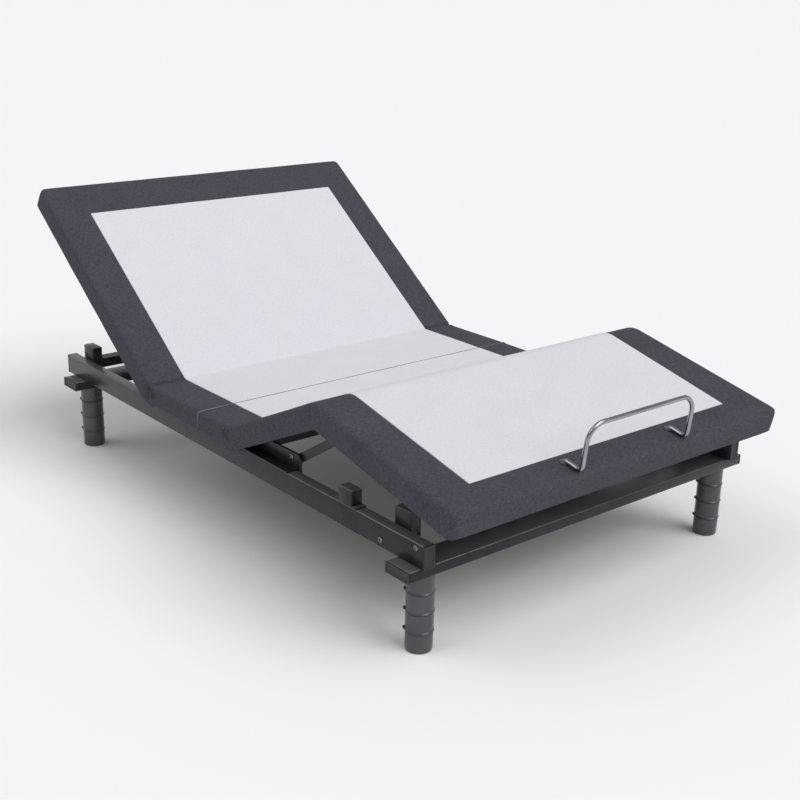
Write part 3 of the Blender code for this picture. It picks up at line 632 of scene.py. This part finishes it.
def soften(obj, covers, line, end, closed):
    """Hand-worked shape: rounded edges and corners, seams pulled in at the folds, pinched pleats."""
    half, radius, corner = covers.half_width, covers.edge, covers.corner
    pleats = [(line.marks[fold] + away, strength) for fold, away, strength in PLEATS]
    shallow = covers.seat_depth / covers.depth
    for vert in obj.data.vertices:
        p = vert.co
        depth, flat_y = -p.z, p.y
        # rounded corner in plan, then the distance in from the outline and the way out
        inset, out = half - abs(p.x), Vector((math.copysign(1.0, p.x), 0.0))
        if end is not None:
            to_end = closed * (end - p.y)
            u, v = corner - inset, corner - to_end
            if u > 0 and v > 0:
                reach = max(u, v)
                spot = Vector((u, v)).normalized() * reach
                centre = Vector((math.copysign(half - corner, p.x), end - closed * corner))
                out = Vector((spot.x * math.copysign(1.0, p.x), spot.y * closed)).normalized()
                p.x = centre.x + spot.x * math.copysign(1.0, p.x)
                p.y = centre.y + spot.y * closed
                inset = corner - reach
            elif to_end < inset:
                inset, out = to_end, Vector((0.0, float(closed)))
        # rounded top edge
        t = depth if depth > 0 else -inset
        if abs(t) < radius:
            angle = math.radians(45) * (1 + t / radius)
            shift = inset - (radius - radius * math.sin(angle))
            p.x += out.x * shift
            p.y += out.y * shift
            p.z = -radius + radius * math.cos(angle)
        # sides are shorter along the seat
        if line.marks["thigh"] < flat_y < line.marks["back"] and depth > radius:
            near = min(flat_y - line.marks["thigh"], line.marks["back"] - flat_y) / 0.03
            p.z = min(p.z, -radius) * (1.0 - (1.0 - shallow) * min(1.0, near))
        # seams pulled in across the folds
        for key, deep in CREASES.items():
            away = (flat_y - line.marks[key]) / CREASE_WIDTH
            dent = deep * (math.exp(-away ** 2) - 0.30 * math.exp(-(abs(away) - 2.4) ** 2))
            p.z -= dent * max(0.0, 1.0 - depth / 0.03)
            if depth > 0:
                p.x -= math.copysign(dent * 1.3, p.x)
        # the sides bulge a little, wave along their length and pinch into pleats by the folds
        if depth > 0:
            belly = math.sin(min(1.0, depth / covers.depth) * math.pi)
            wave = noise.noise(Vector((p.x * 6.0, flat_y * 11.0, depth * 16.0)))
            tuck = 0.0
            for where, strength in pleats:
                offset = flat_y - where + PLEAT_SLANT * (depth - 0.012) * (1 if flat_y > 0.1 else -1)
                fold = 1.5 * math.exp(-(offset / PLEAT_PINCH) ** 2)
                fold -= 1.1 * math.exp(-(offset / PLEAT_SWELL) ** 2)
                tuck += PLEAT_DEPTH * strength * fold * math.sin(min(1.0, depth / PLEAT_LENGTH) * math.pi)
            push = BELLY * belly + WAVE * wave + (tuck if abs(out.x) > 0.9 else 0.0)
            p.x += out.x * push
            p.y += out.y * push
        p.z += RIPPLE * noise.noise(Vector((p.x * 8.0, flat_y * 8.0, 1.7))) * max(0.0, 1.0 - depth / 0.01)
    obj.data.update()


def flat_panel(name, low, high, half, taper, covers, line):
    """A pale panel: a fine grid with a rolled edge, narrower by the taper at its right low corner."""
    ripple, thick = 0.0004, 0.0012
    deselect_all()
    bpy.ops.mesh.primitive_grid_add(x_subdivisions=48, y_subdivisions=round((high - low) / 0.005), size=1.0)
    obj = bpy.context.object
    for vert in obj.data.vertices:
        p = vert.co
        t = p.y + 0.5
        p.y = low + (high - low) * t
        p.x *= 2 * (half - taper * (1 - t) if p.x > 0 else half)
        p.z = covers.panel_proud + ripple * noise.noise(Vector((p.x * 8.0, p.y * 8.0, 9.0)))
    edit(obj, "EDGE")
    pick(obj, "edges", lambda e: e.is_boundary)
    bpy.ops.mesh.extrude_edges_move(TRANSFORM_OT_translate={"value": (0, 0, -covers.panel_proud - ripple)})
    pick(obj, "edges", lambda e: not e.is_boundary and e.calc_face_angle(0.0) > 1.0)
    bpy.ops.mesh.bevel(offset=thick, segments=3, affect="EDGES")
    bpy.ops.object.mode_set(mode="OBJECT")
    lay_out(obj)
    wrap(obj, line)
    apply_modifier(obj, "SOLIDIFY", thickness=thick, offset=-1.0, use_even_offset=False)
    done(obj, name, 40)
    return paint(obj, MATERIALS["panel"])


def top_line(covers):
    return TopLine(covers.lift, {"knee": covers.knee_radius, "thigh": covers.fold_radius,
                                 "back": covers.fold_radius})


class BED_OT_covers(bpy.types.Operator):
    """Dark upholstered covers with their sides, folded at the hinges"""
    bl_idname = "bed.covers"
    bl_label = "Covers"

    def execute(self, context):
        covers = context.scene.bed_covers
        line = top_line(covers)
        split = line.marks["knee"] + CALF_SPLIT
        gap = 0.0016
        head = flat_cover("head_cover", gap, line.head, 1, covers, line)
        middle = flat_cover("seat_thigh_cover", split, -gap, 0, covers, line)
        foot = flat_cover("calf_cover_cloth", line.foot, split, -1, covers, line)
        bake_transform(head)
        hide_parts("back_cover", "rear_seat_cover")
        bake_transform(middle)
        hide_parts("front_seat_cover", "thigh_cover")
        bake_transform(foot)
        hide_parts("calf_cover")
        return {"FINISHED"}


class BED_OT_panels(bpy.types.Operator):
    """Pale cloth panels set into the covers"""
    bl_idname = "bed.panels"
    bl_label = "Pale panels"

    def execute(self, context):
        covers = context.scene.bed_covers
        line = top_line(covers)
        half = covers.half_width - covers.border
        split = line.marks["knee"] + CALF_SPLIT
        gap = 0.0019
        parts = (
            ("head_panel", gap, line.head - covers.head_border, 0.0, ("frame", "back", *BACK_BEND),
             ("back_panel", "rear_seat_panel"), "back_board"),
            ("middle_panel", split, -gap, 0.0, ("frame", "thigh", *THIGH_BEND),
             ("front_seat_panel", "thigh_panel"), "front_seat_board"),
            ("foot_panel", line.foot + covers.foot_border, split, 0.016, ("thigh", "calf", *KNEE_BEND),
             ("calf_panel",), "calf_board"),
        )
        for name, low, high, taper, bend, nodes, board in parts:
            piece = flat_panel(name, low, high, half, taper, covers, line)
            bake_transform(piece)
            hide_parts(*nodes)
        return {"FINISHED"}


# ---------------------------------------------------------------- legs and fittings

class BED_OT_piping(bpy.types.Operator):
    """Piping along the seat seam, over the borders and down both sides"""
    bl_idname = "bed.piping"
    bl_label = "Seam piping"

    def execute(self, context):
        covers = context.scene.bed_covers
        radius, bend = 0.0015, covers.edge
        half = covers.half_width + 0.0010
        y = SEAT_SEAM - 0.0014
        top = SEAT_TOP + covers.lift + 0.0006
        low = SEAT_TOP + covers.lift - covers.seat_depth + 0.003
        cord = open_ring(radius, 12, (half, y, low))
        pull(0, 0, top - bend - low)
        bpy.ops.mesh.spin(steps=8, angle=RIGHT_ANGLE, center=(half - bend, y, top - bend), axis=(0, 1, 0))
        pull(bend - half, 0, 0)
        whole_rod(cord, top + radius)
        done(cord, "seam_piping", 50)
        # the piping's pale tone is a painted highlight along the seam
        paint(cord, MATERIALS["thread"])
        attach(cord, "frame")
        return {"FINISHED"}


class BED_OT_legs(bpy.types.Operator):
    """Four legs, each a stack of screwed-on segments with a lip and a locking tab"""
    bl_idname = "bed.legs"
    bl_label = "Legs"

    def execute(self, context):
        count = context.scene.bed_fittings.leg_segments
        low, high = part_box("leg_foot_left")
        radius, top = (high[0] - low[0]) / 2, high[2]
        size = radius - 0.0035
        deselect_all()
        bpy.ops.mesh.primitive_circle_add(vertices=56, radius=size, fill_type="NGON", location=(0, 0, 0))
        leg = bpy.context.object
        pitch = top / count
        steps = [(0.0010, radius - 0.0012), (0.0030, radius - 0.0004)]
        for i in range(1, count):
            steps += [(i * pitch + rise, radius + past) for rise, past in LEG_LIP]
        steps += [(top - 0.0015, radius), (top - 0.0002, radius - 0.0015)]
        edit(leg, "VERT")
        bpy.ops.mesh.select_all(action="SELECT")
        height = 0.0
        for z, r in steps:
            pull(0, 0, z - height)
            bpy.ops.transform.resize(value=(r / size, r / size, 1.0))
            height, size = z, r
        bpy.ops.mesh.select_all(action="SELECT")
        bpy.ops.mesh.normals_make_consistent(inside=False)
        done(leg, "leg_body", 30)
        paint(leg, MATERIALS["leg"])
        tabs = []
        for i in range(1, count):
            tab = box_piece((-radius - 0.0014, 0.0, i * pitch + 0.0030), (0.0058, 0.009, 0.0042), 0.0010)
            done(tab, f"tab_{i}")
            tab.data.transform(Matrix.Rotation(math.radians(-40), 4, "Z"))
            paint(tab, MATERIALS["cap"])
            tabs.append(tab)
        body = joined([leg, *tabs])
        for end in ("head", "foot"):
            for side in ("left", "right"):
                node = f"leg_{end}_{side}"
                (x, y, _), _ = box_of(node)
                piece = copied(body, f"{node}_stack", Matrix.Translation((x, y, 0)))
                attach(piece, "frame")
                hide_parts(node)
        bpy.data.objects.remove(body)
        return {"FINISHED"}


def end_cap(name, node, axis, sign, thick):
    """A pressed-in cap at one end of a tube: a bevelled plate with a rim and a sunken middle."""
    centre, size = box_of(node)
    centre[axis] += sign * (size[axis] / 2 + thick / 2 + 0.0002)
    size[axis] = thick
    cap = box_piece(centre, size)
    edit(cap)
    pick(cap, "faces", lambda f: f.normal[axis] * sign > 0.9)
    bpy.ops.mesh.inset(thickness=0.0032)
    bpy.ops.mesh.inset(thickness=0.0009)
    inwards = [0.0, 0.0, 0.0]
    inwards[axis] = -sign * 0.0016
    bpy.ops.transform.translate(value=inwards)
    bpy.ops.object.mode_set(mode="OBJECT")
    round_sharp(cap, 0.0009, 3, 40)
    done(cap, name)
    paint(cap, MATERIALS["cap"])
    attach(cap, "frame")


class BED_OT_caps(bpy.types.Operator):
    """Plastic caps in the open tube ends"""
    bl_idname = "bed.caps"
    bl_label = "Tube caps"

    def execute(self, context):
        thick = context.scene.bed_fittings.cap
        for side in ("left", "right"):
            for end, sign in (("head", 1), ("foot", -1)):
                end_cap(f"rail_cap_{end}_{side}", f"side_rail_{side}", 1, sign, thick)
        for end in ("head", "foot"):
            for side, sign in (("left", -1), ("right", 1)):
                end_cap(f"cross_cap_{end}_{side}", f"{end}_cross_tube", 0, sign, thick)
        return {"FINISHED"}


def bolt_head(name, place, radius, sign):
    """A button head with a round socket, facing along X."""
    high = 0.0035
    deselect_all()
    bpy.ops.mesh.primitive_cylinder_add(vertices=36, radius=radius, depth=high, location=(0, 0, high / 2))
    bolt = bpy.context.object
    edit(bolt)
    pick(bolt, "faces", lambda f: f.normal.z > 0.9)
    bpy.ops.mesh.inset(thickness=radius * 0.32)
    bpy.ops.transform.translate(value=(0, 0, high * 0.22))
    bpy.ops.mesh.inset(thickness=radius * 0.18)
    pull(0, 0, -high * 0.6)
    bpy.ops.object.mode_set(mode="OBJECT")
    round_sharp(bolt, radius * 0.10, 2, 35)
    bolt.data.transform(Matrix.Translation(place) @ Matrix.Rotation(sign * RIGHT_ANGLE, 4, "Y"))
    done(bolt, name)
    paint(bolt, MATERIALS["zinc"])
    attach(bolt, "frame")


def coat(obj, node):
    """Powder coating: dark on the sides, with a painted highlight along the rolled edges that face up and painted
    light on the tops.
    """
    paint(obj, MATERIALS["steel"])
    obj.data.materials.append(MATERIALS["edge"])
    obj.data.materials.append(MATERIALS["top"])
    # faces looking straight up get the painted top light, faces half up the painted edge highlight
    for face in obj.data.polygons:
        if face.normal.z >= 0.95:
            face.material_index = 2
        elif face.normal.z > 0.5:
            face.material_index = 1
    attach(obj, "frame")
    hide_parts(node)


class BED_OT_tubes(bpy.types.Operator):
    """Rails, cross tubes, posts and stub brackets with rolled edges"""
    bl_idname = "bed.tubes"
    bl_label = "Rails and tubes"

    def execute(self, context):
        radius = context.scene.bed_fittings.tube_edge
        sided = ("side_rail", "head_post", "foot_post")
        names = [f"{kind}_{side}" for kind in sided for side in ("left", "right")]
        for node in (*names, "head_cross_tube", "foot_cross_tube"):
            coat(done(box_piece(*box_of(node), radius, 3), f"{node}_tube"), node)
        for node in ("stub_bracket_left", "stub_bracket_right"):
            (x, y, z), (across, along, tall) = box_of(node)
            post = box_piece((x, y, z), (across, STUB_UPRIGHT, tall), radius, 3)
            plate = box_piece((x, y, z - (tall - STUB_BASE) / 2), (across, along, STUB_BASE), 0.0008)
            coat(done(joined([post, plate]), f"{node}_body"), node)
        return {"FINISHED"}


class BED_OT_bolts(bpy.types.Operator):
    """Bolt heads on the rails and the pivot plates"""
    bl_idname = "bed.bolts"
    bl_label = "Bolts"

    def execute(self, context):
        low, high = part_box("side_rail_right")
        outer, inner = high[0] + 0.0001, low[0] + 0.0001
        for side, sign in (("right", 1), ("left", -1)):
            for i, (y, z) in enumerate(RAIL_BOLTS, 1):
                bolt_head(f"rail_bolt_{i}_{side}", (sign * outer, y, z), 0.0062, sign)
            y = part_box(f"pivot_plate_{side}")[0][1] + 0.030
            bolt_head(f"plate_bolt_{side}", (sign * inner, y, 0.2690), 0.0060, sign)
        return {"FINISHED"}


class BED_OT_bar(bpy.types.Operator):
    """Mattress bar: a bent chrome rod with a washer at each foot"""
    bl_idname = "bed.bar"
    bl_label = "Mattress bar"

    def execute(self, context):
        # shaped on the calf section laid level: Y along it, Z up from its hinge line
        radius = context.scene.bed_fittings.bar
        half, tall, bend = 0.161, 0.100, 0.040
        turn, low_bend = 0.0065, 0.013
        end = 0.4320
        foot = end - 0.048
        root = HINGE_DEPTH - 0.018
        lift = HINGE_DEPTH + 0.0026 + radius
        lean = CALF_ANGLE - math.radians(6)
        tangent = low_bend * math.tan(RIGHT_ANGLE / 2 + lean / 2)
        up = Vector((0.0, math.sin(lean), math.cos(lean)))
        bar = open_ring(radius, 20, (half, -foot, root))
        pull(0, 0, lift - turn - root)
        bpy.ops.mesh.spin(steps=8, angle=-RIGHT_ANGLE, center=(half, -foot - turn, lift - turn),
                          axis=(1, 0, 0))
        pull(0, foot + turn + tangent - end, 0)
        bpy.ops.mesh.spin(steps=10, angle=RIGHT_ANGLE + lean, center=(half, -end + tangent, lift + low_bend),
                          axis=(1, 0, 0))
        pull(*(up * (tall - bend - tangent)))
        centre = Vector((half - bend, -end, lift)) + up * (tall - bend)
        bpy.ops.mesh.spin(steps=14, angle=-RIGHT_ANGLE, center=centre, axis=Vector((1, 0, 0)).cross(up))
        pull(bend - half, 0, 0)
        whole_rod(bar, lift + tall * math.cos(lean) + radius)
        section = Matrix.Translation(KNEE) @ Matrix.Rotation(CALF_ANGLE, 4, "X")
        bar.data.transform(section)
        done(bar, "mattress_bar", 40)
        paint(bar, MATERIALS["chrome"])
        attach(bar, "calf")
        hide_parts("retainer_bar")
        for sign, side in ((1, "right"), (-1, "left")):
            deselect_all()
            bpy.ops.mesh.primitive_cylinder_add(vertices=32, radius=0.0105, depth=0.0016,
                                                location=(sign * half, -foot, HINGE_DEPTH + 0.0028))
            washer = bpy.context.object
            edit(washer)
            pick(washer, "faces", lambda f: abs(f.normal.z) > 0.9)
            bpy.ops.mesh.inset(thickness=0.0012)
            bpy.ops.object.mode_set(mode="OBJECT")
            round_sharp(washer, 0.0004, 2, 40)
            settle()
            washer.data.transform(section)
            done(washer, f"bar_washer_{side}")
            paint(washer, MATERIALS["zinc"])
            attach(washer, "calf")
        return {"FINISHED"}


class BED_OT_finishes(bpy.types.Operator):
    """Finishes on the frame, links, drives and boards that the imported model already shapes"""
    bl_idname = "bed.finishes"
    bl_label = "Frame finishes"

    def execute(self, context):
        slots = {entry["node"]: entry["material_slot"] for entry in frame["record"]["subparts"]}
        for name, node in NODES.items():
            for slot in node.material_slots:
                slot.material = MATERIALS[SLOT_FINISHES[slots[name]]]
        return {"FINISHED"}


# ---------------------------------------------------------------- stage

class BED_OT_stage(bpy.types.Operator):
    """Camera, pale floor and soft studio light"""
    bl_idname = "bed.stage"
    bl_label = "Stage"

    def execute(self, context):
        stage = context.scene.bed_stage
        camera = bpy.data.cameras.new("camera")
        camera.lens = stage.lens
        camera.sensor_width = 36.0
        camera.clip_end = 100.0
        holder = bpy.data.objects.new("camera", camera)
        context.scene.collection.objects.link(holder)
        yaw, pitch, roll = stage.yaw, stage.pitch, stage.roll
        forward = Vector((math.sin(yaw) * math.cos(pitch), math.cos(yaw) * math.cos(pitch), -math.sin(pitch)))
        right = Vector((math.cos(yaw), -math.sin(yaw), 0.0))
        up = right.cross(forward)
        x_axis = right * math.cos(roll) + up * math.sin(roll)
        y_axis = up * math.cos(roll) - right * math.sin(roll)
        holder.matrix_world = Matrix.Translation(stage.place) @ Matrix((
            (x_axis.x, y_axis.x, -forward.x), (x_axis.y, y_axis.y, -forward.y),
            (x_axis.z, y_axis.z, -forward.z))).to_4x4()
        context.scene.camera = holder
        deselect_all()
        bpy.ops.mesh.primitive_plane_add(size=600.0, location=(0, 0, -0.0005))
        floor = bpy.context.object
        floor.name = "studio_floor"
        mat, _, shader = new_material("pale_floor", Roughness=0.9)
        shader.inputs["Base Color"].default_value = linear("#F4F4F5")
        shader.inputs["Specular IOR Level"].default_value = 0.1
        paint(floor, mat)
        world = bpy.data.worlds.new("studio")
        world.use_nodes = True
        sky = world.node_tree
        sky.nodes["Background"].inputs["Color"].default_value = linear("#FAFAFC")
        towards = add(sky, "ShaderNodeTexCoord")
        height = add(sky, "ShaderNodeSeparateXYZ", links={"Vector": towards.outputs["Generated"]})
        glow = add(sky, "ShaderNodeMapRange",
                   {"From Min": 0.03, "From Max": 0.30, "To Min": 0.97, "To Max": 0.40},
                   {"Value": height.outputs["Z"]})
        sky.links.new(glow.outputs[0], sky.nodes["Background"].inputs["Strength"])
        context.scene.world = world
        for name, direction, strength, spread in SUNS:
            light = bpy.data.lights.new(name, "SUN")
            light.energy = strength
            light.angle = math.radians(spread)
            lamp = bpy.data.objects.new(name, light)
            context.scene.collection.objects.link(lamp)
            lamp.rotation_euler = Vector(direction).to_track_quat("Z", "Y").to_euler()
        context.scene.view_settings.view_transform = "Standard"
        context.scene.view_settings.look = "None"
        return {"FINISHED"}


class BED_PT_panel(bpy.types.Panel):
    """Buttons for each group of pieces"""
    bl_idname = "BED_PT_panel"
    bl_label = "Bed base"
    bl_space_type = "VIEW_3D"
    bl_region_type = "UI"
    bl_category = "Bed Base"

    def draw(self, context):
        for operator in OPERATORS:
            self.layout.operator(operator.bl_idname)
        for name in ("half_width", "lift", "edge", "depth", "border"):
            self.layout.prop(context.scene.bed_covers, name)


GROUPS = (("bed_colours", BedColours), ("bed_covers", BedCovers), ("bed_fittings", BedFittings),
          ("bed_stage", BedStage))
OPERATORS = (BED_OT_finishes, BED_OT_covers, BED_OT_panels, BED_OT_piping, BED_OT_legs, BED_OT_tubes,
             BED_OT_caps, BED_OT_bolts, BED_OT_bar, BED_OT_stage)


def register():
    for name, group in GROUPS:
        bpy.utils.register_class(group)
        setattr(bpy.types.Scene, name, PointerProperty(type=group))
    for kind in (*OPERATORS, BED_PT_panel):
        bpy.utils.register_class(kind)


def unregister():
    for kind in reversed((*OPERATORS, BED_PT_panel)):
        bpy.utils.unregister_class(kind)
    for name, group in reversed(GROUPS):
        delattr(bpy.types.Scene, name)
        bpy.utils.unregister_class(group)


def main():
    register()
    make_materials(bpy.context.scene.bed_colours)
    for operator in OPERATORS:
        group, action = operator.bl_idname.split(".")
        getattr(getattr(bpy.ops, group), action)()
    deselect_all()
    bpy.context.view_layer.update()


if __name__ == "__main__":
    main()
